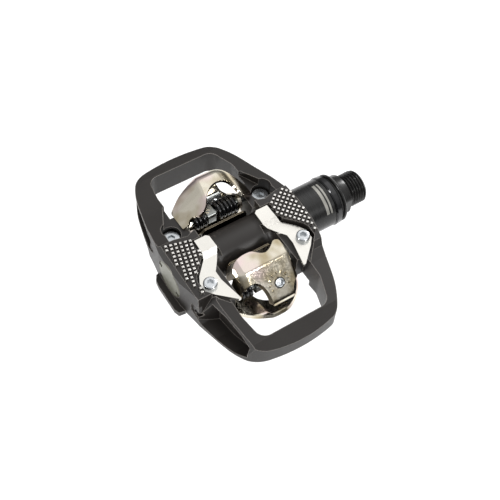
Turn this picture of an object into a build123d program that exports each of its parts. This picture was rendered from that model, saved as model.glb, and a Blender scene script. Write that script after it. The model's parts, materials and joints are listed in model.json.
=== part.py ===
"""Double-sided clipless trail pedal. Millimetres, +X along the axle to the crank, +Z up."""
from build123d import *
from math import cos, radians, sin
import os

os.makedirs("parts", exist_ok=True)

# driving dimensions
mech_x = -52.0              # middle of the cleat mechanism, from the crank face
cage_x = mech_x - 1.5       # middle of the cage outline
half_length = 49.8          # cage, from the axle to the front bar's outer edge
loop_end = 43.0             # front and rear loops' far edge
loop_start = 26.0
pad_top = 10.6              # cage surface under the traction studs
barrel_r = 9.0
bay_half = 14.0             # half-width of the spring bays beside the barrel
step_z = 4.5                # floor of the low step beside each toe hoop
screw_xy = (21.2, 15.0)     # plate screws, from the mechanism's middle
nut_deep = 4.9              # recess depth of the plate nuts below the step
plate_seat = 7.3            # underside of the guide plates' rear halves
plate_t = 1.5
pivot_y = 18.0              # claw pivot, behind the axle and a little below it
pivot_z = 1.5
pivot_r = 1.8
bore_r = 7.2                # long bore for the axle cartridge
sleeve_r = 10.4             # axle sleeve, outside the cage
thread_r = 7.14             # 9/16 in left-hand pedal thread
thread_len = 8.5
inner_bearing_x = mech_x + 7.0
outer_bearing_x = mech_x - 20.0
tilt = 45.0                 # slope of the claw's sprung plate
claw_t = 1.5
run = 0.05                  # radial clearance of running fits

mech = Plane(origin=(mech_x, 0, 0))
cage = Plane(origin=(cage_x, 0, 0))
side = Plane.YZ.offset(cage_x)


def flip(points):
    """The same outline on the other face, half a turn about the axle."""
    return [(-u, -v) for u, v in points]


def save(piece, label):
    piece.part.label = label
    export_step(piece.part, "parts/" + label + ".step")


# ---------------------------------------------------------------- cage
top_line = [
    (half_length, 3.2), (loop_end + 0.5, 5.7), (loop_start, 7.4), (9.8, 9.4), (8.8, pad_top),
    (-19.6, pad_top), (-21.6, 8.2), (-loop_start, 7.4), (-loop_end - 0.5, 5.7), (-half_length, 3.2),
]
pocket_edge = [(15.0, 2.4), (21.0, 5.6), (29.0, 6.0), (38.0, 5.0), (44.0, 2.8)]
with BuildPart() as side_pockets:
    for way in (1, -1):
        with BuildSketch(side):
            with BuildLine():
                Polyline(*[(way * u, v) for u, v in pocket_edge],
                         *[(way * u, -v) for u, v in pocket_edge[::-1]], close=True)
            make_face()
            fillet(vertices(), 1.2)
        extrude(amount=40, both=True)
    with BuildSketch(cage) as strips:
        for hand in (1, -1):
            inner = 19.3 if hand > 0 else 16.4      # loop's side wall
            for way in (1, -1):
                with BuildLine():
                    Polyline((hand * 40, way * 14), (hand * 27.6, way * 14),
                             (hand * 27.2, way * 19.0), (hand * (inner + 3.4), way * 22.4),
                             (hand * (inner + 2.0), way * 32.0), (hand * (inner - 0.6), way * 42.5),
                             (hand * 40, way * 45), close=True)
                make_face()
    extrude(amount=12, both=True, mode=Mode.INTERSECT)

with BuildPart() as cage_body:
    with BuildSketch(cage) as outline:
        with BuildLine():
            ThreePointArc((-13.5, half_length - 1.7), (0, half_length), (14.5, half_length - 1.7))
            right_side = Spline((14.5, half_length - 1.7), (19.0, 44.0), (22.0, 38.6), (25.0, 30.0),
                                (28.0, 20.0), (30.4, 10.0), tangents=((1, -0.25), (0.2, -1)))
            Polyline(right_side @ 1, (30.9, 0), (30.9, -1))
            left_side = Spline((-13.5, half_length - 1.7), (-19.0, 45.0), (-22.3, 40.0),
                               (-25.2, 31.0), (-27.6, 20.0), (-29.2, 8.0),
                               tangents=((-1, -0.25), (-0.15, -1)))
            Polyline(left_side @ 1, (-29.4, 0), (-29.4, -1))
            Line((-29.4, -1), (30.9, -1))
        make_face()
        mirror(about=Plane.XZ)
    extrude(amount=15, both=True)
    with BuildSketch(side) as profile:
        with BuildLine():
            Polyline(*top_line, *flip(top_line), close=True)
        make_face()
    extrude(amount=40, both=True, mode=Mode.INTERSECT)
    # front and rear loops, straight through
    with BuildSketch(cage) as loops:
        for way in (1, -1):
            with BuildLine():
                Polyline((-16.2, way * 22), (-16.2, way * 32), (-14.4, way * loop_end),
                         (15.6, way * loop_end), (19.2, way * 32), (19.2, way * 22), close=True)
            make_face()
        fillet(loops.vertices().filter_by(lambda v: abs(v.Y) > 25), 4.5)
    extrude(amount=16, both=True, mode=Mode.SUBTRACT)
    # spring bays either side of the barrel
    with BuildSketch(mech):
        for way in (1, -1):
            with Locations((0, way * 18)):
                Rectangle(2 * bay_half, 36)
    extrude(amount=16, both=True, mode=Mode.SUBTRACT)
    # smooth barrel that flares into the side blocks
    with BuildSketch(Plane.XY):
        with BuildLine():
            flare_in = mech_x - bay_half
            flare_out = mech_x + bay_half
            Polyline((flare_in - 1, 0), (flare_in - 1, pad_top), (flare_in, pad_top))
            ThreePointArc((flare_in, pad_top), (flare_in + 1.0, barrel_r + 0.45),
                          (flare_in + 3.6, barrel_r))
            Line((flare_in + 3.6, barrel_r), (flare_out - 3.6, barrel_r))
            ThreePointArc((flare_out - 3.6, barrel_r), (flare_out - 1.0, barrel_r + 0.45),
                          (flare_out, pad_top))
            Polyline((flare_out, pad_top), (flare_out + 1, pad_top), (flare_out + 1, 0),
                     (flare_in - 1, 0))
        make_face()
    revolve(axis=Axis.X)
    # low step, plate seats and screw recesses on each face
    for turn in (0, 180):
        face = mech.rotated((turn, 0, 0)) if turn else mech
        for hand in (1, -1):
            with BuildSketch(face.offset(step_z)):
                with BuildLine():
                    Polyline((hand * 13, 9.5), (hand * 18, 7.6), (hand * 25.0, 9.2),
                             (hand * 24.6, 14.5), (hand * 18.4, 26.8), (hand * 13, 26.8), close=True)
                make_face()
            extrude(amount=12, mode=Mode.SUBTRACT)
            with BuildSketch(face.offset(plate_seat)):
                with BuildLine():
                    Polyline((hand * 9.8, -7.5), (hand * 9.8, -1.6), (hand * 18.6, -1.6),
                             (hand * 18.6, -4.0), (hand * 24.0, -9.6),
                             (hand * 25.3, -12.5), (hand * 25.1, -17.0), (hand * 22.3, -20.4),
                             (hand * 15.0, -28.5), (hand * 13.0, -28.5),
                             (hand * 13.0, -7.5), close=True)
                make_face()
            extrude(amount=12, mode=Mode.SUBTRACT)
            with BuildSketch(face.offset(barrel_r)):
                with Locations((hand * 13.4, 0.2)):
                    Rectangle(9.6, 9.4)
            extrude(amount=12, mode=Mode.SUBTRACT)
            with Locations(face.location * Location((hand * screw_xy[0], screw_xy[1], step_z))):
                CounterBoreHole(radius=2.1, counter_bore_radius=4.0, counter_bore_depth=nut_deep,
                                depth=30)
    # axle cartridge bore with the outer cap's seat
    with BuildSketch(Plane.YZ.offset(mech_x)):
        Circle(bore_r)
    extrude(amount=40, both=True, mode=Mode.SUBTRACT)
    with BuildSketch(Plane.YZ.offset(mech_x - 27.8)):
        Circle(8.0)
    extrude(amount=-10, mode=Mode.SUBTRACT)
    # claw pivot bores, open on the outer side and blind on the crank side
    for way in (1, -1):
        with BuildSketch(Plane.YZ.offset(mech_x + 16.8)):
            with Locations((way * pivot_y, way * pivot_z)):
                Circle(pivot_r)
        extrude(amount=-60, mode=Mode.SUBTRACT)
    # deep tapering pockets in the outer side faces
    add(side_pockets.part, mode=Mode.SUBTRACT)
    # the rear outer wall leans in towards the upper face
    for y_cut, x_top, x_low in ((-19.5, -19.2, -30.4), (-46.5, -17.3, -21.0)):
        with BuildSketch(Plane(origin=(cage_x, y_cut, 0), x_dir=(1, 0, 0), z_dir=(0, -1, 0))):
            with BuildLine():
                Polyline((x_top, 12), (x_low, -8), (-45, -8), (-45, 12), close=True)
            make_face()
    loft(ruled=True, mode=Mode.SUBTRACT)
    # sloping top edge of the outer side face, and the ledge along its foot
    with BuildSketch(Plane(origin=(cage_x, 12.5, 0), x_dir=(1, 0, 0), z_dir=(0, -1, 0))):
        with BuildLine():
            Polyline((-29.5, 7.2), (-27.8, pad_top), (-27.2, 12), (-45, 12), (-45, 7.2), close=True)
        make_face()
    extrude(amount=32, mode=Mode.SUBTRACT)
    with BuildSketch(cage.offset(-pad_top)):
        with BuildLine():
            Polyline((-28.5, 9.6), (-30.4, 9.0), (-31.8, 6.8), (-32.2, 4.0), (-32.2, -8.6),
                     (-31.4, -11.0), (-28.5, -11.4), close=True)
        make_face()
    extrude(amount=2.4)
save(cage_body, "cage_body")


# ---------------------------------------------------------------- axle (the crank's side)
axle_section = [
    (outer_bearing_x - 6.7, 0), (outer_bearing_x - 6.7, 3.4), (outer_bearing_x - 2.5, 3.4),
    (outer_bearing_x - 2.5, 4.0), (inner_bearing_x + 4.5, 4.0), (inner_bearing_x + 5.5, 5.5),
    (-9.0, 5.5), (-8.4, 6.2), (-5.5, 6.2), (-5.5, 10.2), (-5.1, 10.6), (-4.7, 10.6), (-4.3, 10.2),
    (-4.2, 8.6),
    (-0.4, 8.6), (0, 8.2), (0, thread_r), (thread_len - 0.8, thread_r), (thread_len, thread_r - 0.8),
    (thread_len, 0),
]
with BuildPart() as spindle:
    with BuildSketch(Plane.XY):
        with BuildLine():
            Polyline(*axle_section, close=True)
        make_face()
    revolve(axis=Axis.X)
    # 15 mm spanner flats
    with BuildSketch(Plane.YZ.offset(-4.2)):
        for way in (1, -1):
            with Locations((0, way * 10)):
                Rectangle(30, 5)
    extrude(amount=4.2, mode=Mode.SUBTRACT)
    # 8 mm hex key socket in the crank end
    with BuildSketch(Plane.YZ.offset(thread_len)):
        RegularPolygon(radius=4.0, side_count=6, major_radius=False)
    extrude(amount=-7, mode=Mode.SUBTRACT)
save(spindle, "spindle")


def ring(label, x_from, x_to, r_in, r_out, edge=0.0):
    """A plain turned ring about the axle."""
    with BuildPart() as turned:
        with BuildSketch(Plane.YZ.offset(x_from)):
            Circle(r_out)
            Circle(r_in, mode=Mode.SUBTRACT)
        extrude(amount=x_to - x_from)
        if edge:
            chamfer(turned.edges().filter_by(GeomType.CIRCLE)
                    .filter_by(lambda e: e.radius > r_out - 0.01), edge)
    save(turned, label)


body_end = cage_x + 30.9
ring("dust_ring", -6.3, -5.5, 6.2, 9.5)
ring("sleeve_ring", -9.5, -6.6, 7.2, 10.8, 0.5)
ring("lip_seal", -9.5, -6.9, 6.2 + run, 7.2)
ring("sleeve_bushing", inner_bearing_x + 5.5, -11.0, 5.5 + run, 6.3)
ring("race_spacer_inner", outer_bearing_x + 2, inner_bearing_x - 2, 4.0, 4.8)
ring("race_spacer_outer", outer_bearing_x + 2, inner_bearing_x - 2, 6.4, bore_r)
ring("lock_washer", outer_bearing_x - 2.7, outer_bearing_x - 2.0, 4.0, 5.6)

with BuildPart() as axle_sleeve:
    with BuildSketch(Plane.XY):
        with BuildLine():
            Polyline((inner_bearing_x + 2.1, 6.3), (inner_bearing_x + 2.1, bore_r),
                     (body_end, bore_r), (body_end, sleeve_r - 0.2), (body_end + 0.3, sleeve_r),
                     (-9.9, sleeve_r), (-9.5, sleeve_r - 0.4), (-9.5, 6.3), close=True)
        make_face()
    revolve(axis=Axis.X)
save(axle_sleeve, "axle_sleeve")

# two identical ball bearings, each with its races and balls
race_len = 4.0
ball_r = 0.85
ball_circle = 5.6
groove_r = ball_r + run
ball_count = 14
for place, x_mid in (("inner", inner_bearing_x), ("outer", outer_bearing_x)):
    with BuildPart() as inner_race:
        with BuildSketch(Plane.XY):
            with Locations((x_mid, 4.45)):
                Rectangle(race_len, 0.9)
            with Locations((x_mid, ball_circle)):
                Circle(groove_r, mode=Mode.SUBTRACT)
        revolve(axis=Axis.X)
    save(inner_race, place + "_bearing_inner_race")
    with BuildPart() as outer_race:
        with BuildSketch(Plane.XY):
            with Locations((x_mid, (6.3 + bore_r) / 2)):
                Rectangle(race_len, bore_r - 6.3)
            with Locations((x_mid, ball_circle)):
                Circle(groove_r, mode=Mode.SUBTRACT)
        revolve(axis=Axis.X)
    save(outer_race, place + "_bearing_outer_race")
    with BuildPart() as balls:
        with Locations(Plane.YZ.offset(x_mid)):
            with PolarLocations(ball_circle, ball_count):
                Sphere(ball_r)
    save(balls, place + "_bearing_balls")

with BuildPart() as locknut:
    with BuildSketch(Plane.YZ.offset(outer_bearing_x - 2.7)):
        RegularPolygon(radius=4.5, side_count=6, major_radius=False)
        Circle(3.4, mode=Mode.SUBTRACT)
    extrude(amount=-3.0)
save(locknut, "locknut")

cap_seat = mech_x - 27.8
cap_face = cage_x - 29.4
with BuildPart() as end_cap:
    with BuildSketch(Plane.XY):
        with BuildLine():
            Polyline((cap_face, 0), (cap_face, 7.5), (cap_face + 0.5, 8.0), (cap_seat, 8.0),
                     (cap_seat, bore_r), (cap_seat + 0.5, bore_r), (cap_seat + 0.5, 6.3),
                     (cap_seat + 1.3, 6.3), (cap_seat + 1.3, bore_r), (cap_seat + 1.8, bore_r),
                     (cap_seat + 1.8, 5.4), (cap_seat - 0.8, 5.4), (cap_seat - 0.8, 0), close=True)
        make_face()
    revolve(axis=Axis.X)
    # two spanner notches in the rim
    with BuildSketch(Plane.YZ.offset(cap_face)):
        with PolarLocations(6.9, 2, start_angle=20):
            Rectangle(2.4, 2.0)
    extrude(amount=1.4, mode=Mode.SUBTRACT)
save(end_cap, "end_cap")
with BuildPart() as cap_o_ring:
    with BuildSketch(Plane.XY):
        with Locations((cap_seat + 0.9, 6.8)):
            Circle(0.38)
    revolve(axis=Axis.X)
save(cap_o_ring, "cap_o_ring")


# ---------------------------------------------------------------- cleat mechanism
def thicken(line, depth):
    """Closed outline of a bent sheet: the line, and the line moved `depth` to its right."""
    inner = []
    for i, (u, v) in enumerate(line):
        before = line[max(i - 1, 0)]
        after = line[min(i + 1, len(line) - 1)]
        first = Vector(u - before[0], v - before[1]) if i else None
        last = Vector(after[0] - u, after[1] - v) if i < len(line) - 1 else None
        first = (first or last).normalized()
        last = (last or first).normalized()
        normal = Vector(first.Y + last.Y, -first.X - last.X).normalized()
        reach = depth / (normal.X * first.Y - normal.Y * first.X)
        inner.append((u + normal.X * reach, v + normal.Y * reach))
    return line + inner[::-1]


def both_faces(piece, label):
    """Write the top-face piece and its copy on the other face."""
    save(piece, label + "_top")
    with BuildPart() as other:
        add(piece.part, rotation=(180, 0, 0))
    save(other, label + "_bottom")


across = Plane(origin=(mech_x, 0, 0), x_dir=(1, 0, 0), z_dir=(0, -1, 0))    # XZ view
along = Plane(origin=(mech_x, 0, 0), x_dir=(0, 1, 0), z_dir=(1, 0, 0))      # YZ view
tab_top = barrel_r + plate_t
rear_top = plate_seat + plate_t
plate_line = [(-30, rear_top), (-4.2, rear_top), (-1.9, tab_top), (6, tab_top)]
plate_outline = [
    (16.9, 4.4), (11.7, 4.4), (10.6, 3.4), (10.5, -2.4), (13.4, -7.0), (16.4, -11.0), (16.4, -15.2),
    (15.5, -19.5), (14.2, -25.8), (15.2, -25.8), (21.8, -19.6), (24.2, -16.8), (24.4, -12.6),
    (22.8, -9.6), (17.6, -4.0), (17.0, -1.8),
]
screw_y = -screw_xy[1]
nut_seat = -step_z + nut_deep
for hand, hand_name in ((-1, "outer"), (1, "inner")):
    screw_x = hand * screw_xy[0]
    with BuildPart() as guide_plate:
        with BuildSketch(along):
            with BuildLine():
                Polyline(*thicken(plate_line, plate_t), close=True)
            make_face()
        extrude(amount=26, both=True)
        with BuildSketch(mech):
            with BuildLine():
                Polyline(*[(hand * u, v) for u, v in plate_outline], close=True)
            make_face()
            with Locations((screw_x, screw_y)):
                Circle(2.1, mode=Mode.SUBTRACT)
        extrude(amount=15, mode=Mode.INTERSECT)
    both_faces(guide_plate, "guide_plate_" + hand_name)

    with BuildPart() as plate_screw:
        with BuildSketch(mech.offset(rear_top)):
            with Locations((screw_x, screw_y)):
                Circle(2.8)
        extrude(amount=1.9)
        fillet(plate_screw.edges().group_by(Axis.Z)[-1], 0.8)
        with BuildSketch(mech.offset(rear_top + 1.9)):
            with Locations((screw_x, screw_y)):
                RegularPolygon(radius=1.25, side_count=6, major_radius=False)
        extrude(amount=-1.3, mode=Mode.SUBTRACT)
        with BuildSketch(mech.offset(rear_top)):
            with Locations((screw_x, screw_y)):
                Circle(2.0)
        extrude(amount=-(rear_top - nut_seat + 1.4))
    both_faces(plate_screw, "plate_screw_" + hand_name)

    with BuildPart() as plate_nut:
        with BuildSketch(mech.offset(nut_seat)):
            with Locations((screw_x, screw_y)):
                Circle(3.8)
        extrude(amount=-2.6)
        chamfer(plate_nut.edges().group_by(Axis.Z)[0], 0.4)
        with BuildSketch(mech.offset(nut_seat)):
            with Locations((screw_x, screw_y)):
                Circle(2.0)
        extrude(amount=-1.5, mode=Mode.SUBTRACT)
        with BuildSketch(mech.offset(nut_seat - 2.6)):
            with Locations((screw_x, screw_y)):
                RegularPolygon(radius=1.7, side_count=6)
        extrude(amount=0.8, mode=Mode.SUBTRACT)
    both_faces(plate_nut, "plate_nut_" + hand_name)

# fixed hoop over the toe of the cleat
hoop_half = [(-17.4, step_z), (-16.6, 5.7), (-9.7, 12.1), (-7.4, 13.0)]
hoop_line = hoop_half + [(-u, v) for u, v in hoop_half[::-1]]
hoop_inner = [(-7.0, 11.2), (-8.8, 10.5), (-15.2, step_z)]
with BuildPart() as toe_hoop:
    with BuildSketch(across):
        with BuildLine():
            Polyline(*hoop_line, *[(-u, v) for u, v in hoop_inner[::-1]], *hoop_inner, close=True)
        make_face()
    extrude(amount=-32)
    with BuildSketch(mech):
        with BuildLine():
            front = Polyline((-17.5, 15.0), (-17.5, 24.2), (-9.5, 28.8), (-1.0, 30.6), (5.0, 30.8),
                             (10.6, 29.0), (15.0, 25.2), (17.5, 21.0), (17.5, 15.0), (12.5, 13.6),
                             (10.6, 15.6))
            ThreePointArc(front @ 1, (2.8, 23.1), (-5.0, 15.6))
            Polyline((-5.0, 15.6), (-7.6, 14.2), (-9.8, 15.4), (-13.4, 15.8), (-14.6, 14.6),
                     (-17.5, 15.0))
        make_face()
    extrude(amount=15, mode=Mode.INTERSECT)
both_faces(toe_hoop, "toe_hoop")

# sprung claw behind the cleat
slope = Vector(0, cos(radians(tilt)), sin(radians(tilt)))
outward = Vector(0, -sin(radians(tilt)), cos(radians(tilt)))
pivot = Vector(mech_x, -pivot_y, -pivot_z)
plate_far = 8.4                                 # pivot axis to the sprung plate's outer face
claw_face = Plane(origin=pivot + outward * plate_far, x_dir=(1, 0, 0), z_dir=outward)
bend_at = 8.4
plate_foot = -9.4
bend = claw_face.origin + slope * bend_at
foot = claw_face.origin + slope * plate_foot
claw_half = 12.6
adjuster_x = 4.1                                # tension screw, in the sprung plate's own plane
adjuster_y = -1.6
with BuildPart() as rear_claw:
    with BuildSketch(along):
        with BuildLine():
            Polyline(*thicken([(foot.Y - 0.9, foot.Z - 0.2), (foot.Y, foot.Z), (bend.Y, bend.Z),
                               (bend.Y + 5.4, bend.Z + 1.5)], claw_t), close=True)
        make_face()
    extrude(amount=claw_half, both=True)
    # concave lip between two horns
    with BuildSketch(mech):
        with Locations((0, bend.Y + 6.3)):
            Ellipse(7.6, 5.2)
        for hand in (1, -1):
            with BuildLine():
                Polyline((hand * 11.0, bend.Y + 7), (hand * 12.7, bend.Y + 1.5),
                         (hand * 14, bend.Y + 7), close=True)
            make_face()
    extrude(amount=20, mode=Mode.SUBTRACT)
    # window over the outer spring, trimmed lower corners and the tension screw's hole
    with BuildSketch(claw_face.offset(3)):
        with Locations((-5.4, -4.0)):
            RectangleRounded(8.2, 9.4, 2.6)
        for hand in (1, -1):
            with BuildLine():
                Polyline((hand * 13.5, -3.4), (hand * 12.6, -3.4), (hand * 9.8, -5.6),
                         (hand * 9.4, -14), (hand * 13.5, -14), close=True)
            make_face()
        with Locations((adjuster_x, adjuster_y)):
            Circle(2.1)
    extrude(amount=-6, mode=Mode.SUBTRACT)
    # ears down to the pivot pin
    for ear_x in (-claw_half, claw_half - claw_t):
        with BuildSketch(along.offset(ear_x)):
            with BuildLine():
                Polyline((bend.Y + 0.6, bend.Z - 1.0), (bend.Y - 0.4, bend.Z - 1.0),
                         (foot.Y + 7.0, foot.Z + 6.0), (pivot.Y - 3.0, pivot.Z - 1.4),
                         (pivot.Y + 3.2, pivot.Z), (pivot.Y + 3.4, bend.Z - 3.0), close=True)
            make_face()
            with Locations((pivot.Y, pivot.Z)):
                Circle(3.3)
                Circle(pivot_r + run, mode=Mode.SUBTRACT)
        extrude(amount=claw_t)
both_faces(rear_claw, "rear_claw")

with BuildPart() as pivot_pin:
    with BuildSketch(Plane.YZ.offset(mech_x - 16.6)):
        with Locations((pivot.Y, pivot.Z)):
            Circle(pivot_r)
    extrude(amount=33.2)
    chamfer(pivot_pin.edges(), 0.3)
both_faces(pivot_pin, "pivot_pin")

# torsion springs on the pin, wound from the ears in to a spacer block
wire_r = 0.8
coil_r = 3.25
pitch = 1.78
for name, x_start, turns in (("outer", -10.2, 3), ("inner", 0.8, 5)):
    with BuildPart() as spring:
        with BuildLine():
            coil = Helix(pitch=pitch, height=pitch * turns, radius=coil_r,
                         center=(mech_x + x_start, pivot.Y, pivot.Z), direction=(1, 0, 0))
        with BuildSketch(Plane(origin=coil @ 0, z_dir=coil % 0)):
            Circle(wire_r)
        sweep(is_frenet=True)
    both_faces(spring, "claw_spring_" + name)

with BuildPart() as spacer_block:
    with BuildSketch(Plane.YZ.offset(mech_x - 3.8)):
        with Locations((pivot.Y, pivot.Z)):
            RectangleRounded(6.2, 6.2, 1.6)
            Circle(pivot_r + run, mode=Mode.SUBTRACT)
    extrude(amount=3.6)
both_faces(spacer_block, "spring_spacer")

with BuildPart() as spring_plate:
    with BuildSketch(mech.offset(-6.0)):
        with Locations((0, -barrel_r - 0.4)):
            Rectangle(21, 0.8)
    extrude(amount=12.4)
    chamfer(spring_plate.edges().filter_by(Axis.Y), 1.5)
both_faces(spring_plate, "spring_plate")

# spring tension adjuster: a screw through the claw and the shoe that it drives
shoe_outer = -1.8
shoe_t = 1.2
with BuildPart() as tension_screw:
    with BuildSketch(claw_face.offset(0.3)):
        with Locations((adjuster_x, adjuster_y)):
            Circle(2.8)
    extrude(amount=1.2)
    fillet(tension_screw.edges().sort_by(Axis(claw_face.origin, outward))[-1], 0.5)
    with BuildSketch(claw_face.offset(1.5)):
        with Locations((adjuster_x, adjuster_y)):
            RegularPolygon(radius=1.5, side_count=6, major_radius=False)
    extrude(amount=-1.0, mode=Mode.SUBTRACT)
    with BuildSketch(claw_face.offset(0.3)):
        with Locations((adjuster_x, adjuster_y)):
            Circle(2.0)
    extrude(amount=-(0.3 - shoe_outer + shoe_t))
both_faces(tension_screw, "tension_screw")

with BuildPart() as tension_shoe:
    with BuildSketch(claw_face.offset(shoe_outer)):
        with Locations((adjuster_x, adjuster_y)):
            RectangleRounded(8.0, 8.0, 0.8)
            Circle(2.0 + run, mode=Mode.SUBTRACT)
    extrude(amount=-shoe_t)
both_faces(tension_shoe, "tension_shoe")
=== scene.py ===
"""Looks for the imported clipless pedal: materials, studs, thread, sheet steel, light, camera."""
import json
import math
from math import cos, pi, radians, sin
import bpy
import bmesh
from mathutils import Matrix, Vector


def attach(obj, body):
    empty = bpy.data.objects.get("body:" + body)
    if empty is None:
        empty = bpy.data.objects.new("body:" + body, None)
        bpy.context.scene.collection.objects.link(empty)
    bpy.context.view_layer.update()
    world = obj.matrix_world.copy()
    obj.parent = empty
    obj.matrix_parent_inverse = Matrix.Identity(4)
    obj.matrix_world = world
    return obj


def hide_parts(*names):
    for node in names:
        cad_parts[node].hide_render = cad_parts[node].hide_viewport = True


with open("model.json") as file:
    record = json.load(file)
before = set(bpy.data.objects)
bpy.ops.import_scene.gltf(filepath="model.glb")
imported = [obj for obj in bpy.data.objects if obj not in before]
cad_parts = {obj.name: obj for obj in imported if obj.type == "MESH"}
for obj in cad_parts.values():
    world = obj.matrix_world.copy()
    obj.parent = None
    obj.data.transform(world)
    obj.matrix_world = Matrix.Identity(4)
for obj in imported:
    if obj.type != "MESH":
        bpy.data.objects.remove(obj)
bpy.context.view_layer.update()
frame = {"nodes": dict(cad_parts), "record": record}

MM = 0.001
MECH_X = -52.0          # middle of the cleat mechanism, mm from the crank face
TILT = radians(45)      # slope of the claw's sprung plate
PIVOT = (-18.0, -1.5)   # claw pivot on the upper face, y and z
PLATE_FAR = 8.4         # pivot axis to the sprung plate's outer face
THREAD_R, THREAD_LEN = 7.14, 8.5
SPANNER_HALF = 7.5      # half the distance across the spanner flats
SOCKET_HALF = 4.0       # half the distance across the spindle's hexagonal socket
SHEET_T = 1.4           # steel sheet of the toe hoop and the claw
SHEET_CELL = 0.5        # mesh cell of that sheet
FACES = (("top", 1), ("bottom", -1))


# ---------------------------------------------------------------- materials
def new_material(name):
    mat = bpy.data.materials.new(name)
    mat.use_nodes = True
    nodes = mat.node_tree.nodes
    nodes.clear()
    shader = nodes.new("ShaderNodeBsdfPrincipled")
    out = nodes.new("ShaderNodeOutputMaterial")
    mat.node_tree.links.new(shader.outputs[0], out.inputs[0])
    return mat, nodes, mat.node_tree.links, shader


def noise(nodes, links, coord, scale, detail=3.0, stretch=None):
    tex = nodes.new("ShaderNodeTexNoise")
    tex.inputs["Scale"].default_value = scale
    tex.inputs["Detail"].default_value = detail
    source = coord.outputs["Object"]
    if stretch:
        mapping = nodes.new("ShaderNodeMapping")
        mapping.inputs["Scale"].default_value = stretch
        links.new(source, mapping.inputs[0])
        source = mapping.outputs[0]
    links.new(source, tex.inputs["Vector"])
    return tex.outputs["Fac"]


def ramp(nodes, links, fac, low, high, start=0.35, end=0.65):
    node = nodes.new("ShaderNodeValToRGB")
    node.color_ramp.elements[0].position = start
    node.color_ramp.elements[1].position = end
    node.color_ramp.elements[0].color = low
    node.color_ramp.elements[1].color = high
    links.new(fac, node.inputs[0])
    return node.outputs[0]


def grey(v):
    return (v, v, v, 1)


def edge_mask(nodes, links, radius, gain):
    """1 on sharp edges, 0 on flats: how far a rounded normal leaves the true one."""
    bevel = nodes.new("ShaderNodeBevel")
    bevel.samples = 6
    bevel.inputs["Radius"].default_value = radius
    geometry = nodes.new("ShaderNodeNewGeometry")
    dot = nodes.new("ShaderNodeVectorMath")
    dot.operation = "DOT_PRODUCT"
    links.new(bevel.outputs[0], dot.inputs[0])
    links.new(geometry.outputs["Normal"], dot.inputs[1])
    away = nodes.new("ShaderNodeMath")
    away.operation = "SUBTRACT"
    away.inputs[0].default_value = 1.0
    links.new(dot.outputs["Value"], away.inputs[1])
    scale = nodes.new("ShaderNodeMath")
    scale.operation = "MULTIPLY"
    scale.use_clamp = True
    scale.inputs[1].default_value = gain
    links.new(away.outputs[0], scale.inputs[0])
    return scale.outputs[0]


def metal(name, dark, light, rough, metallic=1.0, patch=60, grain=900, bump=0.02, stretch=None,
          edge_highlight=None, coat=0.0, specular=0.5):
    """Procedural finish: slow colour patches, fine grain in roughness and bump, and a pale painted
    highlight on sharp edges.
    """
    mat, nodes, links, shader = new_material(name)
    coord = nodes.new("ShaderNodeTexCoord")
    shader.inputs["Metallic"].default_value = metallic
    shader.inputs["Specular IOR Level"].default_value = specular
    shader.inputs["Coat Weight"].default_value = coat
    shader.inputs["Coat Roughness"].default_value = 0.12
    colour = ramp(nodes, links, noise(nodes, links, coord, patch), (*dark, 1), (*light, 1))
    # pale colour mixed in on sharp edges: a painted highlight
    if edge_highlight:
        edge_highlight_colour, radius, gain = edge_highlight
        mix = nodes.new("ShaderNodeMix")
        mix.data_type = "RGBA"
        links.new(edge_mask(nodes, links, radius, gain), mix.inputs[0])
        links.new(colour, mix.inputs[6])
        mix.inputs[7].default_value = (*edge_highlight_colour, 1)
        colour = mix.outputs[2]
    links.new(colour, shader.inputs["Base Color"])
    fine = noise(nodes, links, coord, grain, 2.0, stretch)
    links.new(ramp(nodes, links, fine, grey(rough[0]), grey(rough[1])), shader.inputs["Roughness"])
    bumps = nodes.new("ShaderNodeBump")
    bumps.inputs["Strength"].default_value = bump
    bumps.inputs["Distance"].default_value = 0.0002
    links.new(fine, bumps.inputs["Height"])
    links.new(bumps.outputs[0], shader.inputs["Normal"])
    return mat


def plated():
    """Passivated nickel: gold, green-grey and rose patches under a bright polish."""
    mat, nodes, links, shader = new_material("hoop_plated")
    coord = nodes.new("ShaderNodeTexCoord")
    shader.inputs["Metallic"].default_value = 1.0
    warm = ramp(nodes, links, noise(nodes, links, coord, 110, 2.0), (0.46, 0.39, 0.26, 1),
                (0.76, 0.71, 0.60, 1), 0.38, 0.6)
    mix = nodes.new("ShaderNodeMix")
    mix.data_type = "RGBA"
    rose = ramp(nodes, links, noise(nodes, links, coord, 75, 1.0, (1.0, 1.6, 0.7)),
                grey(0), grey(1), 0.52, 0.70)
    links.new(rose, mix.inputs[0])
    links.new(warm, mix.inputs[6])
    mix.inputs[7].default_value = (0.80, 0.66, 0.64, 1)
    links.new(mix.outputs[2], shader.inputs["Base Color"])
    fine = noise(nodes, links, coord, 1500, 2.0)
    links.new(ramp(nodes, links, fine, grey(0.08), grey(0.17)), shader.inputs["Roughness"])
    return mat


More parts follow.
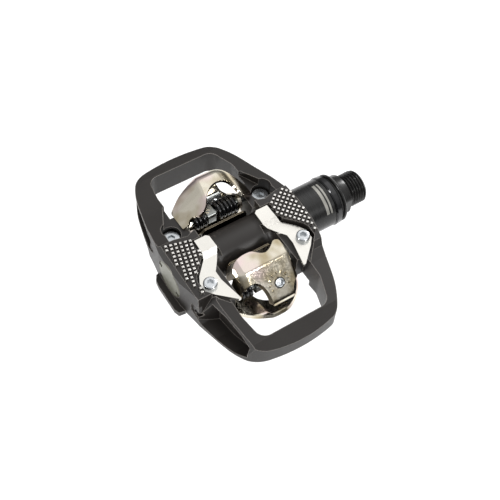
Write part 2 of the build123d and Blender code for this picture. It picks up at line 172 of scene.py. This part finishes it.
LOOKS = {
    # the cage's pale colour on sharp edges is a painted highlight
    "cage_black": metal("cage_anodised", (0.013, 0.0105, 0.0090), (0.018, 0.0155, 0.0135),
                        (0.36, 0.44), 0.0, 40, 2500, 0.03,
                        edge_highlight=((0.30, 0.275, 0.25), 0.0005, 3.0), specular=0.40),
    "axle_black": metal("axle_satin", (0.014, 0.014, 0.014), (0.022, 0.021, 0.020), (0.24, 0.34),
                        0.4, 60, 2500, 0.03, stretch=(1, 0.1, 0.1), coat=0.1),
    "ring_gloss": metal("ring_gloss", (0.010, 0.010, 0.011), (0.016, 0.016, 0.018), (0.08, 0.14),
                        0.4, 80, 1500, 0.01, coat=0.6),
    "seal_rubber": metal("seal_rubber", (0.012, 0.012, 0.012), (0.020, 0.019, 0.018), (0.55, 0.7),
                         0.0, 80, 3000, 0.1),
    "bush_bronze": metal("bush_bronze", (0.45, 0.30, 0.15), (0.55, 0.38, 0.20), (0.3, 0.4)),
    "bearing_steel": metal("bearing_steel", (0.50, 0.50, 0.50), (0.62, 0.62, 0.62), (0.15, 0.25)),
    "cap_grey": metal("cap_grey", (0.165, 0.165, 0.130), (0.205, 0.202, 0.165), (0.32, 0.42), 0.25,
                      70, 2500, 0.04),
    "plate_steel": metal("plate_polished", (0.74, 0.72, 0.67), (0.83, 0.81, 0.76), (0.20, 0.26),
                         1.0, 50, 1800, 0.002, stretch=(1, 0.25, 1)),
    "screw_steel": metal("screw_zinc", (0.50, 0.53, 0.55), (0.64, 0.66, 0.68), (0.18, 0.30), 1.0,
                         150, 2500, 0.02),
    "hoop_plated": plated(),
    # dark steel for the claw's flange and the spring plates is painted shade; its pale edge colour
    # is a painted highlight
    "painted_shade_steel": metal("painted_shade_steel", (0.06, 0.05, 0.035), (0.12, 0.10, 0.07), (0.14, 0.22),
                         1.0, 60, 1500, 0.01, edge_highlight=((0.7, 0.6, 0.45), 0.00025, 2.5)),
    "spring_black": metal("spring_black", (0.008, 0.008, 0.009), (0.014, 0.014, 0.015),
                          (0.16, 0.26), 0.3, 100, 2000, 0.02, coat=0.4),
    "pin_steel": metal("pin_steel", (0.22, 0.23, 0.22), (0.34, 0.35, 0.34), (0.25, 0.36)),
    "mark_print": metal("mark_print", (0.26, 0.255, 0.23), (0.32, 0.31, 0.28), (0.4, 0.5), 0.2,
                        200, 3000, 0.02),
}
# two looks have no slot of their own in the record
STUD_TIP = metal("stud_bare", (0.55, 0.54, 0.51), (0.74, 0.72, 0.69), (0.25, 0.4), 1.0, 300, 2500,
                 0.0)

slot_of = {entry["node"]: entry["material_slot"] for entry in frame["record"]["subparts"]}
for node, obj in frame["nodes"].items():
    obj.data.materials.clear()
    obj.data.materials.append(LOOKS[slot_of[node]])
# the spring plates take the dark steel: painted shade beside the barrel
for face, _ in FACES:
    frame["nodes"][f"spring_plate_{face}"].data.materials[0] = LOOKS["painted_shade_steel"]


# ---------------------------------------------------------------- mesh helpers
def mesh_piece(name, verts, quads, slot, body, smooth=True, extra=None, indices=None):
    mesh = bpy.data.meshes.new(name)
    mesh.from_pydata([Vector(v) * MM for v in verts], [], quads)
    mesh.materials.append(LOOKS[slot])
    if extra:
        mesh.materials.append(extra)
        for polygon, index in zip(mesh.polygons, indices):
            polygon.material_index = index
    obj = bpy.data.objects.new(name, mesh)
    bpy.context.collection.objects.link(obj)
    bm = bmesh.new()
    bm.from_mesh(mesh)
    bmesh.ops.recalc_face_normals(bm, faces=bm.faces)
    bm.to_mesh(mesh)
    bm.free()
    if smooth:
        for polygon in mesh.polygons:
            polygon.use_smooth = True
        add_smooth_by_angle(obj)
    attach(obj, body)
    return obj


def add_smooth_by_angle(obj, angle=radians(32)):
    """Sharp edges where faces meet at more than `angle`."""
    bm = bmesh.new()
    bm.from_mesh(obj.data)
    for edge in bm.edges:
        if len(edge.link_faces) == 2 and edge.calc_face_angle(0) > angle:
            edge.smooth = False
    bm.to_mesh(obj.data)
    bm.free()


def bevel(obj, width, segments=3, angle=32):
    mod = obj.modifiers.new("edges", "BEVEL")
    mod.width = width * MM
    mod.segments = segments
    mod.limit_method = "ANGLE"
    mod.angle_limit = radians(angle)
    mod.harden_normals = True
    mod.use_clamp_overlap = True


def on_face(verts, sign):
    """Points made for the upper face, or with sign -1 turned half a turn about the axle."""
    return [(x, -y, -z) for x, y, z in verts] if sign < 0 else verts


def hexagon(half):
    """The radius of a hexagon, `half` from its middle to its flats, as a function of angle."""
    return lambda a: half / cos((a % (pi / 3)) - pi / 6)


def ring_quads(rings, around):
    """Faces between neighbouring rings of `around` points each."""
    quads = []
    for i in range(rings - 1):
        for k in range(around):
            n = (k + 1) % around
            quads.append((i * around + k, i * around + n,
                          (i + 1) * around + n, (i + 1) * around + k))
    return quads


# ---------------------------------------------------------------- spindle with its cut thread
def spindle_mesh():
    pitch, depth, around = 1.27, 0.78, 120
    outer, inner = MECH_X - 20.0, MECH_X + 7.0       # bearing middles
    rings = []          # (x, radius function of angle)

    def plain(x, r):
        rings.append((x, lambda a, r=r: r))

    def flats(x, r):
        rings.append((x, lambda a, r=r: min(r, SPANNER_HALF / max(abs(cos(a)), 1e-6))))

    for x, r in ((outer - 6.7, 3.0), (outer - 6.3, 3.4), (outer - 2.5, 3.4), (outer - 2.5, 4.0),
                 (inner + 4.5, 4.0), (inner + 5.5, 5.5), (-9.0, 5.5), (-8.4, 6.2), (-5.5, 6.2),
                 (-5.5, 10.1), (-5.4, 10.3), (-5.15, 10.5), (-4.7, 10.5), (-4.4, 10.3),
                 (-4.25, 10.1), (-4.2, 8.7)):
        plain(x, r)
    for x, r in ((-4.19, 8.5), (-0.5, 8.5), (-0.2, 8.4), (0.0, 8.1)):
        flats(x, r)
    plain(0.0, 6.3)
    plain(0.5, 6.25)
    steps = 150
    start, end = 0.5, THREAD_LEN
    for i in range(steps + 1):
        x = start + (end - start) * i / steps

        def crest(a, x=x):
            turn = (x / pitch + a / (2 * pi)) % 1.0
            wave = abs(2 * turn - 1)                      # 1 at the root, 0 at the crest
            groove = depth * min(max((wave - 0.12) / 0.76, 0), 1)
            lead_in = max(0, 1.1 - (x - start)) * 0.8
            chamfer = max(0, x - (end - 0.9)) * 0.95
            return min(THREAD_R - groove, THREAD_R - lead_in, THREAD_R - chamfer)
        rings.append((x, crest))
    for r in (5.2, 4.75):
        plain(end, r)
    socket = hexagon(SOCKET_HALF)
    rings += [(end - 0.35, socket), (end - 7.0, socket)]
    verts = []
    for x, radius in rings:
        for k in range(around):
            a = 2 * pi * k / around
            verts.append((x, radius(a) * cos(a), radius(a) * sin(a)))
    quads = ring_quads(len(rings), around)
    for ring_start, x in ((0, rings[0][0]), ((len(rings) - 1) * around, rings[-1][0])):
        centre = len(verts)
        verts.append((x, 0, 0))
        quads += [(ring_start + k, ring_start + (k + 1) % around, centre) for k in range(around)]
    return verts, quads


spindle = mesh_piece("spindle_threaded", *spindle_mesh(), "axle_black", "spindle")
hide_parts("spindle")


# ---------------------------------------------------------------- bent sheet steel
def inside(x, y, outline):
    hit = False
    for (x1, y1), (x2, y2) in zip(outline, outline[1:] + outline[:1]):
        if (y1 > y) != (y2 > y) and x < (x2 - x1) * (y - y1) / (y2 - y1) + x1:
            hit = not hit
    return hit


def nearest(x, y, outlines):
    """The closest point to (x, y) on any of the outlines."""
    best = (1e9, x, y)
    for outline in outlines:
        for (x1, y1), (x2, y2) in zip(outline, outline[1:] + outline[:1]):
            dx, dy = x2 - x1, y2 - y1
            s = min(max(((x - x1) * dx + (y - y1) * dy) / (dx * dx + dy * dy), 0), 1)
            u, v = x1 + s * dx, y1 + s * dy
            far = (u - x) ** 2 + (v - y) ** 2
            if far < best[0]:
                best = (far, u, v)
    return best[1:]


def rounded(corners, steps=5):
    """A polygon with each corner (x, y, radius) rounded by a quadratic curve."""
    out = []
    for i, (x, y, r) in enumerate(corners):
        x0, y0, _ = corners[i - 1]
        x2, y2, _ = corners[(i + 1) % len(corners)]
        before, after = math.hypot(x0 - x, y0 - y), math.hypot(x2 - x, y2 - y)
        a, b = min(r / before, 0.48), min(r / after, 0.48)
        if r == 0:
            out.append((x, y))
            continue
        p, q = (x + (x0 - x) * a, y + (y0 - y) * a), (x + (x2 - x) * b, y + (y2 - y) * b)
        for k in range(steps + 1):
            s = k / steps
            out.append(tuple((1 - s) ** 2 * m + 2 * s * (1 - s) * c + s * s * n
                             for m, c, n in zip(p, (x, y), q)))
    return out


def sheet(name, outline, place, cell, thickness, slot, body, holes=(), sign=1, edge=0.2):
    """Thick sheet over a flat outline, bent by place(u, v); its normal is the outer side."""
    us, vs = [p[0] for p in outline], [p[1] for p in outline]
    count_u = int((max(us) - min(us)) / cell) + 2
    count_v = int((max(vs) - min(vs)) / cell) + 2
    kept = set()
    for i in range(count_u):
        for j in range(count_v):
            u, v = min(us) + (i + 0.5) * cell, min(vs) + (j + 0.5) * cell
            if inside(u, v, outline) and not any(inside(u, v, hole) for hole in holes):
                kept.add((i, j))
    index, flat = {}, []

    def corner(i, j):
        if (i, j) not in index:
            index[(i, j)] = len(flat)
            u, v = min(us) + i * cell, min(vs) + j * cell
            around = [(i + a, j + b) in kept for a in (-1, 0) for b in (-1, 0)]
            if not all(around):
                u, v = nearest(u, v, [outline, *holes])
            flat.append((u, v))
        return index[(i, j)]

    faces = [(corner(i, j), corner(i + 1, j), corner(i + 1, j + 1), corner(i, j + 1))
             for i, j in sorted(kept)]
    outer, inner, step = [], [], 0.02
    for u, v in flat:
        here = Vector(place(u, v))
        along_u = Vector(place(u + step, v)) - Vector(place(u - step, v))
        along_v = Vector(place(u, v + step)) - Vector(place(u, v - step))
        normal = along_u.cross(along_v).normalized()
        outer.append(tuple(here))
        inner.append(tuple(here - normal * thickness))
    total = len(flat)
    quads = list(faces) + [tuple(total + k for k in reversed(face)) for face in faces]
    edges = {}
    for face in faces:
        for a, b in zip(face, face[1:] + face[:1]):
            edges[(a, b)] = True
    quads += [(b, a, total + a, total + b) for a, b in edges if (b, a) not in edges]
    verts = [(MECH_X + x, y, z) for x, y, z in outer + inner]
    piece = mesh_piece(name, on_face(verts, sign), quads, slot, body)
    bevel(piece, edge, 2, 55)
    return piece


HOOP_TOP = 12.9
HOOP_LEFT_SLOPE, HOOP_RIGHT_SLOPE = 0.60, 0.85      # fall of the legs, mm per mm


def soft_min(a, b, k):
    """The lower of a and b, rounded off over k where they cross."""
    h = min(max(0.5 + 0.5 * (b - a) / k, 0), 1)
    return b * (1 - h) + a * h - k * h * (1 - h)


def hoop_place(x, y):
    ridge = -0.6 - 0.16 * (30.0 - y)            # crease where the crest meets the broad left leg
    left = HOOP_TOP + 0.35 - HOOP_LEFT_SLOPE * (ridge - x)
    right = HOOP_TOP + 0.3 - HOOP_RIGHT_SLOPE * (x - 8.6)
    z = soft_min(soft_min(left, HOOP_TOP, 0.5), right, 2.4)
    roll = max(0, (y - 26.8) / 4.0)
    return x, y, z - 1.7 * roll * roll - 0.05 * max(0, 22 - y)


hoop_outline = rounded(
    [(-16.0, 14.6, 0.6), (-16.2, 24.2, 1.2), (-10.2, 28.2, 3.0), (-1.2, 30.6, 4.0),
     (5.0, 30.9, 3.0), (10.8, 28.6, 3.0), (14.6, 24.6, 2.0), (16.8, 19.6, 1.5),
     (17.0, 14.6, 0.6), (12.2, 13.8, 0.6), (11.0, 15.8, 1.0), (10.9, 19.2, 2.5),
     (8.8, 22.3, 2.5), (5.4, 23.5, 2.5), (2.2, 23.0, 2.5), (-0.8, 21.0, 3.0),
     (-3.4, 17.8, 2.5), (-5.0, 15.4, 1.5), (-7.6, 14.2, 1.5), (-9.4, 14.6, 0.8),
     (-10.4, 16.0, 1.0), (-12.6, 15.8, 0.6), (-13.4, 14.4, 0.6)])


# the claw, laid flat: u across it, v up the slope of the sprung plate
BEND_V, FOOT_V = 7.4, -7.7
LIP_TURN, FOOT_TURN = radians(30), radians(80)
LIP_R, FOOT_R = 2.4, 2.2
# the wing is held in, and the flange kept shallow, to clear the outer spring and its spacer
WING_R, EAR_R, CLAW_HALF = 6.0, 1.8, 12.55
FLANGE_DEPTH, FLANGE_T = 1.7, 0.8


def claw_place(u, v):
    """The claw's outer surface: lip and foot bent across the slope, wings down its sides."""
    w, h, turn = v, 0.0, 0.0
    if v > BEND_V:
        turn = min((v - BEND_V) / LIP_R, LIP_TURN)
        rest = v - BEND_V - turn * LIP_R
        w = BEND_V + LIP_R * sin(turn) + rest * cos(turn)
        h = -LIP_R * (1 - cos(turn)) - rest * sin(turn)
    elif v < FOOT_V:
        turn = -min((FOOT_V - v) / FOOT_R, FOOT_TURN)
        w = FOOT_V + FOOT_R * sin(turn)
        h = -FOOT_R * (1 - cos(turn))
    radius = WING_R if u < 0 else EAR_R
    flat_half = CLAW_HALF - radius
    x, drop = u, 0.0
    if abs(u) > flat_half:
        wrap = min((abs(u) - flat_half) / radius, pi / 2)
        x = math.copysign(flat_half + radius * sin(wrap), u)
        drop = radius * (1 - cos(wrap)) + max(0, abs(u) - flat_half - radius * pi / 2)
    w -= drop * sin(turn)
    h -= drop * cos(turn)
    y = PIVOT[0] - (PLATE_FAR + h) * sin(TILT) + w * cos(TILT)
    z = PIVOT[1] + (PLATE_FAR + h) * cos(TILT) + w * sin(TILT)
    return x, y, z


CUT = [(-11.4, 1.2, 1.2), (-9.8, 2.5, 1.6), (-5.2, 3.0, 2.4), (-2.6, 0.2, 2.8), (-1.3, -4.2, 3.0)]
claw_outline = rounded(
    [(-5.4, 15.0, 2.0), (-9.4, 13.8, 2.0), (-12.0, 11.0, 2.0), (-13.4, 6.8, 1.5), (-16.4, 4.2, 1.5),
     (-21.0, 2.8, 2.0), (-21.0, -2.8, 2.0), (-15.6, -2.8, 1.0), (-13.2, -0.6, 1.0)] + CUT
    + [(-1.2, -10.35, 0.6), (8.2, -10.35, 1.2), (8.6, -5.8, 2.0), (11.2, -2.8, 1.2),
       (22.8, -2.8, 2.0), (22.8, 2.4, 2.0), (15.4, 6.4, 1.5), (12.2, 9.0, 1.0), (11.2, 14.2, 1.0),
       (9.0, 14.9, 1.0), (6.8, 12.9, 1.4), (4.0, 11.6, 1.8), (1.4, 12.6, 1.5), (-1.0, 14.8, 1.4)])
SCREW_U, SCREW_V, SCREW_R = 4.1, -1.6, 1.95
SCREW_HOLE_R, PIN_HOLE_R = 2.3, 1.95
SCREW_SOCKET_HALF = 1.25
screw_hole = [(SCREW_U + SCREW_HOLE_R * cos(a), SCREW_V + SCREW_HOLE_R * sin(a))
              for a in [2 * pi * k / 28 for k in range(28)]]


def ear_hole(hand, radius):
    """Clearance hole for the pivot pin in one ear, in the claw's flat outline."""
    reach = CLAW_HALF - radius + radius * pi / 2 + (PLATE_FAR - radius)
    return [(hand * reach + PIN_HOLE_R * cos(a), PIN_HOLE_R * sin(a))
            for a in [2 * pi * k / 24 for k in range(24)]]


claw_holes = [screw_hole, ear_hole(-1, WING_R), ear_hole(1, EAR_R)]


def ribbon(name, line, place, depth, thickness, slot, body, sign):
    """Flange turned down along an edge line of a sheet, in rounded steps."""
    rows, verts, quads = 6, [], []
    for k, (u, v) in enumerate(line):
        u2, v2 = line[min(k + 1, len(line) - 1)]
        u1, v1 = line[max(k - 1, 0)]
        length = math.hypot(u2 - u1, v2 - v1)
        side = ((v2 - v1) / length, -(u2 - u1) / length)       # towards the cut-out
        top = Vector(place(u, v))
        along_u, along_v = Vector(place(u + 0.02, v)) - top, Vector(place(u, v + 0.02)) - top
        normal = along_u.cross(along_v).normalized()
        flare = Vector(place(u + side[0] * 0.1, v + side[1] * 0.1)) - top
        for inward in (0.0, thickness):
            for row in range(rows + 1):
                a = row / rows
                fall = 0.15 + depth * a
                reach = 0.9 * a - inward
                point = top - normal * fall + flare * 10 * reach
                verts.append((MECH_X + point.x, point.y, point.z))
    stride = 2 * (rows + 1)
    for k in range(len(line) - 1):
        for row in range(rows):
            a, b = k * stride + row, (k + 1) * stride + row
            quads.append((a, b, b + 1, a + 1))
            c, d = a + rows + 1, b + rows + 1
            quads.append((c, c + 1, d + 1, d))
        for row in (0, rows):
            a, b = k * stride + row, (k + 1) * stride + row
            quads.append((a, a + rows + 1, b + rows + 1, b))
    for k in (0, len(line) - 1):
        quads += [(k * stride + row, k * stride + row + 1, k * stride + row + rows + 2,
                   k * stride + row + rows + 1) for row in range(rows)]
    return mesh_piece(name, on_face(verts, sign), quads, slot, body)


def wedges(count, first, last, radius, size):
    """Raised adjuster marks on the claw, in an arc about the tension screw."""
    verts, quads = [], []
    for k in range(count):
        a = radians(first + (last - first) * k / (count - 1))
        centre = (SCREW_U + radius * cos(a), SCREW_V + radius * sin(a))
        n = len(verts)
        for half, lift in ((1.0, -0.1), (0.5, 0.6)):
            for du, dv in ((-1, -1), (1, -1), (1, 1), (-1, 1)):
                u = centre[0] + half * (du * size[0] * cos(a) - dv * size[1] * sin(a))
                v = centre[1] + half * (du * size[0] * sin(a) + dv * size[1] * cos(a))
                x, y, z = claw_place(u, v)
                verts.append((MECH_X + x, y - lift * sin(TILT), z + lift * cos(TILT)))
        quads += [(n, n + 3, n + 2, n + 1), (n + 4, n + 5, n + 6, n + 7)]
        quads += [(n + m, n + (m + 1) % 4, n + 4 + (m + 1) % 4, n + 4 + m) for m in range(4)]
    return verts, quads


def tension_screw():
    """Flat-headed screw with a hexagonal socket, standing in its clearance hole."""
    socket = hexagon(SCREW_SOCKET_HALF)
    rings = [(-3.3, lambda a: 1.7), (-3.1, lambda a: SCREW_R), (0.2, lambda a: SCREW_R),
             (0.38, lambda a: 1.86), (0.45, lambda a: 1.7), (0.45, lambda a: 1.5),
             (0.3, socket), (-0.8, socket)]
    around, verts = 60, []
    for h, radius in rings:
        for k in range(around):
            a = 2 * pi * k / around
            x, y, z = claw_place(SCREW_U + radius(a) * cos(a), SCREW_V + radius(a) * sin(a))
            verts.append((MECH_X + x, y - h * sin(TILT), z + h * cos(TILT)))
    last = len(rings) * around
    ends = [tuple(range(around)), tuple(range(last - around, last))]
    return verts, ring_quads(len(rings), around) + ends


for face, sign in FACES:
    verts, quads = tension_screw()
    screw = mesh_piece(f"tension_screw_turned_{face}", on_face(verts, sign), quads,
                       "screw_steel", f"tension_screw_{face}")
    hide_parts(f"tension_screw_{face}")
    hoop = sheet(f"toe_hoop_bent_{face}", hoop_outline, hoop_place, SHEET_CELL, SHEET_T,
                 "hoop_plated", "pedal_body", sign=sign, edge=0.3)
    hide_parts(f"toe_hoop_{face}")
    claw = sheet(f"rear_claw_bent_{face}", claw_outline, claw_place, SHEET_CELL, SHEET_T,
                 "hoop_plated", f"claw_{face}", holes=claw_holes, sign=sign, edge=0.25)
    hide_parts(f"rear_claw_{face}")
    cut_line = rounded([(-11.2, 1.4, 0)] + CUT[1:] + [(-1.25, -9.6, 0)], 8)
    # the flange is painted dark as shade inside the cut-out, with painted highlights on its edges
    ribbon(f"claw_flange_{face}", cut_line, claw_place, FLANGE_DEPTH, FLANGE_T, "painted_shade_steel",
           f"claw_{face}", sign)
    verts, quads = wedges(count=9, first=-25, last=205, radius=4.2, size=(0.62, 0.40))
    mesh_piece(f"adjuster_marks_{face}", on_face(verts, sign), quads, "hoop_plated",
               f"claw_{face}", smooth=False)


# ---------------------------------------------------------------- traction studs
# the plan of each pad, from the mechanism's middle
PADS = {-1: [(-29.1, 9.4), (-24.6, 8.3), (-18.6, 6.9), (-17.0, 4.6), (-17.3, -2.0), (-18.9, -4.9),
             (-24.2, -10.4), (-25.3, -14.0), (-24.3, -19.4), (-26.6, -19.6), (-29.1, -9.8)],
        1: [(29.1, 9.2), (24.6, 8.0), (18.6, 6.9), (17.0, 4.6), (17.3, -2.0), (18.9, -4.9),
            (23.4, -9.6), (25.3, -13.6), (24.0, -19.0), (26.4, -19.0), (28.4, -11.0), (29.1, -4.0)]}
STUD_TURN = {-1: -14.6, 1: 38.0}        # direction of the rows, degrees


def studs(hand):
    """Pyramids with flat bright tips, in rows over one pad."""
    pitch, foot, tip, base, top = (1.95, 1.80), 0.84, 0.46, 10.5, 11.5
    turn = radians(STUD_TURN[hand])
    cx, cy = hand * 24.5, -3.0
    verts, quads, indices = [], [], []
    for i in range(-14, 15):
        for j in range(-14, 15):
            x = cx + pitch[0] * i * cos(turn) - pitch[1] * j * sin(turn)
            y = cy + pitch[0] * i * sin(turn) + pitch[1] * j * cos(turn)
            reach = [(x + d * cos(turn) - e * sin(turn), y + d * sin(turn) + e * cos(turn))
                     for d in (-tip, tip) for e in (-tip, tip)]
            if not all(inside(u, v, PADS[hand]) for u, v in reach):
                continue
            n = len(verts)
            for half, z in ((foot, base), (tip, top)):
                for d, e in ((-1, -1), (1, -1), (1, 1), (-1, 1)):
                    verts.append((MECH_X + x + half * (d * cos(turn) - e * sin(turn)),
                                  y + half * (d * sin(turn) + e * cos(turn)), z))
            quads.append((n + 4, n + 5, n + 6, n + 7))
            indices.append(1)
            quads.append((n + 3, n + 2, n + 1, n))
            indices.append(0)
            for k in range(4):
                m = (k + 1) % 4
                quads.append((n + k, n + m, n + 4 + m, n + 4 + k))
                indices.append(0)
    return verts, quads, indices


for face, sign in FACES:
    for hand, side in ((-1, "outer"), (1, "inner")):
        verts, quads, indices = studs(hand)
        piece = mesh_piece(f"traction_studs_{side}_{face}", on_face(verts, sign), quads,
                           "cage_black", "pedal_body", smooth=False, extra=STUD_TIP,
                           indices=indices)
        bevel(piece, 0.06, 2)


# ---------------------------------------------------------------- two plain bars round the sleeve
BAR_R, BAR_LIFT = 10.39, 0.03           # just inside the sleeve's surface, and how thick
BAR_START, BAR_END = -18, 62            # degrees round the sleeve from straight up
SLEEVE_BARS = (("wide", -14.2, -12.9), ("narrow", -12.2, -11.4))


def band(x_start, x_end, steps=24):
    """A thin strip bent round the sleeve."""
    verts, quads = [], []
    for k in range(steps + 1):
        a = radians(BAR_START + (BAR_END - BAR_START) * k / steps)
        top = BAR_R + BAR_LIFT
        for x, radius in ((x_start, BAR_R), (x_end, BAR_R), (x_end, top), (x_start, top)):
            verts.append((x, -radius * sin(a), radius * cos(a)))
    for k in range(steps):
        for m in range(4):
            a, b = 4 * k + m, 4 * k + (m + 1) % 4
            quads.append((a, b, b + 4, a + 4))
    quads += [(3, 2, 1, 0), (4 * steps, 4 * steps + 1, 4 * steps + 2, 4 * steps + 3)]
    return verts, quads


for face, sign in FACES:
    for name, x_start, x_end in SLEEVE_BARS:
        verts, quads = band(x_start, x_end)
        mesh_piece(f"sleeve_bar_{name}_{face}", on_face(verts, sign), quads,
                   "mark_print", "pedal_body")


# ---------------------------------------------------------------- edges of the carried-over CAD
for node, width in (("cage_body", 0.35), ("end_cap", 0.15), ("axle_sleeve", 0.15),
                    ("sleeve_ring", 0.15)):
    bevel(frame["nodes"][node], width, 2)
for face, _ in FACES:
    for node, width in (("guide_plate_outer", 0.22), ("guide_plate_inner", 0.22),
                        ("plate_screw_outer", 0.1), ("plate_screw_inner", 0.1),
                        ("spring_plate", 0.15), ("spring_spacer", 0.2)):
        bevel(frame["nodes"][f"{node}_{face}"], width, 2)


# ---------------------------------------------------------------- stage, light and camera
FLOOR_Z = -0.11


def area_light(name, place, size, power, colour=(1, 1, 1), aim=(-0.045, 0, 0)):
    data = bpy.data.lights.new(name, "AREA")
    data.shape = "RECTANGLE"
    data.size, data.size_y = size
    data.energy = power
    data.color = colour
    obj = bpy.data.objects.new(name, data)
    bpy.context.collection.objects.link(obj)
    obj.location = place
    obj.rotation_mode = "QUATERNION"
    obj.rotation_quaternion = (Vector(aim) - Vector(place)).to_track_quat("-Z", "Y")
    return obj


floor_mesh = bpy.data.meshes.new("floor")
floor_mesh.from_pydata([(x * 3, y * 3, FLOOR_Z) for x, y in ((-1, -1), (1, -1), (1, 1), (-1, 1))],
                       [], [(0, 1, 2, 3)])
floor = bpy.data.objects.new("floor", floor_mesh)
bpy.context.collection.objects.link(floor)
paper, paper_nodes, paper_links, paper_shader = new_material("floor_paper")
paper_coord = paper_nodes.new("ShaderNodeTexCoord")
paper_links.new(ramp(paper_nodes, paper_links, noise(paper_nodes, paper_links, paper_coord, 4),
                     grey(0.93), grey(0.95)), paper_shader.inputs["Base Color"])
paper_shader.inputs["Roughness"].default_value = 0.9
paper_shader.inputs["Specular IOR Level"].default_value = 0.0
floor_mesh.materials.append(paper)

world = bpy.data.worlds.new("studio")
bpy.context.scene.world = world
world.use_nodes = True
sky_nodes, sky_links = world.node_tree.nodes, world.node_tree.links
direction = sky_nodes.new("ShaderNodeTexCoord")
split = sky_nodes.new("ShaderNodeSeparateXYZ")
sky_links.new(direction.outputs["Generated"], split.inputs[0])
sky_links.new(ramp(sky_nodes, sky_links, split.outputs["Z"], grey(0.20), grey(0.80), 0.20, 0.72),
              sky_nodes["Background"].inputs[0])
sky_nodes["Background"].inputs[1].default_value = 0.9

area_light("top_box", (0.26, 0.16, 0.9), (1.1, 1.1), 1.6)
area_light("side_box", (0.75, 0.35, 0.6), (0.25, 0.3), 6.0)
area_light("front_box", (0.1, -0.8, 0.55), (0.3, 0.15), 3.5)
area_light("left_box", (-0.85, 0.1, 0.3), (0.12, 0.3), 3.0)

CAMERA_AZIMUTH, CAMERA_ELEVATION, CAMERA_ROLL = radians(-34.5), radians(56.0), radians(-3.0)
CAMERA_AIM = Vector((-0.0535, 0, 0))
CAMERA_DISTANCE = 0.344
FRAME_PIXELS = 500
PIXELS_PER_MM = 2.497                       # at the aim point
IMAGE_PLACE = (232.9, 247.2)                # where the aim point falls

back = Vector((sin(CAMERA_AZIMUTH) * cos(CAMERA_ELEVATION),
               -cos(CAMERA_AZIMUTH) * cos(CAMERA_ELEVATION), sin(CAMERA_ELEVATION)))
right = Vector((cos(CAMERA_AZIMUTH), sin(CAMERA_AZIMUTH), 0))
up = back.cross(right)
turned_right = right * cos(CAMERA_ROLL) - up * sin(CAMERA_ROLL)
turned_up = right * sin(CAMERA_ROLL) + up * cos(CAMERA_ROLL)
camera_data = bpy.data.cameras.new("camera")
camera_data.sensor_width = 36.0
camera_data.lens = PIXELS_PER_MM * CAMERA_DISTANCE * 1000 / FRAME_PIXELS * camera_data.sensor_width
camera_data.shift_x = (FRAME_PIXELS / 2 - IMAGE_PLACE[0]) / FRAME_PIXELS
camera_data.shift_y = (IMAGE_PLACE[1] - FRAME_PIXELS / 2) / FRAME_PIXELS
camera_data.clip_start = 0.05
camera_data.clip_end = 20
camera = bpy.data.objects.new("camera", camera_data)
bpy.context.collection.objects.link(camera)
camera.matrix_world = Matrix((
    (turned_right.x, turned_up.x, back.x, CAMERA_AIM.x + back.x * CAMERA_DISTANCE),
    (turned_right.y, turned_up.y, back.y, CAMERA_AIM.y + back.y * CAMERA_DISTANCE),
    (turned_right.z, turned_up.z, back.z, CAMERA_AIM.z + back.z * CAMERA_DISTANCE),
    (0, 0, 0, 1)))
bpy.context.scene.camera = camera
bpy.context.scene.view_settings.view_transform = "Standard"
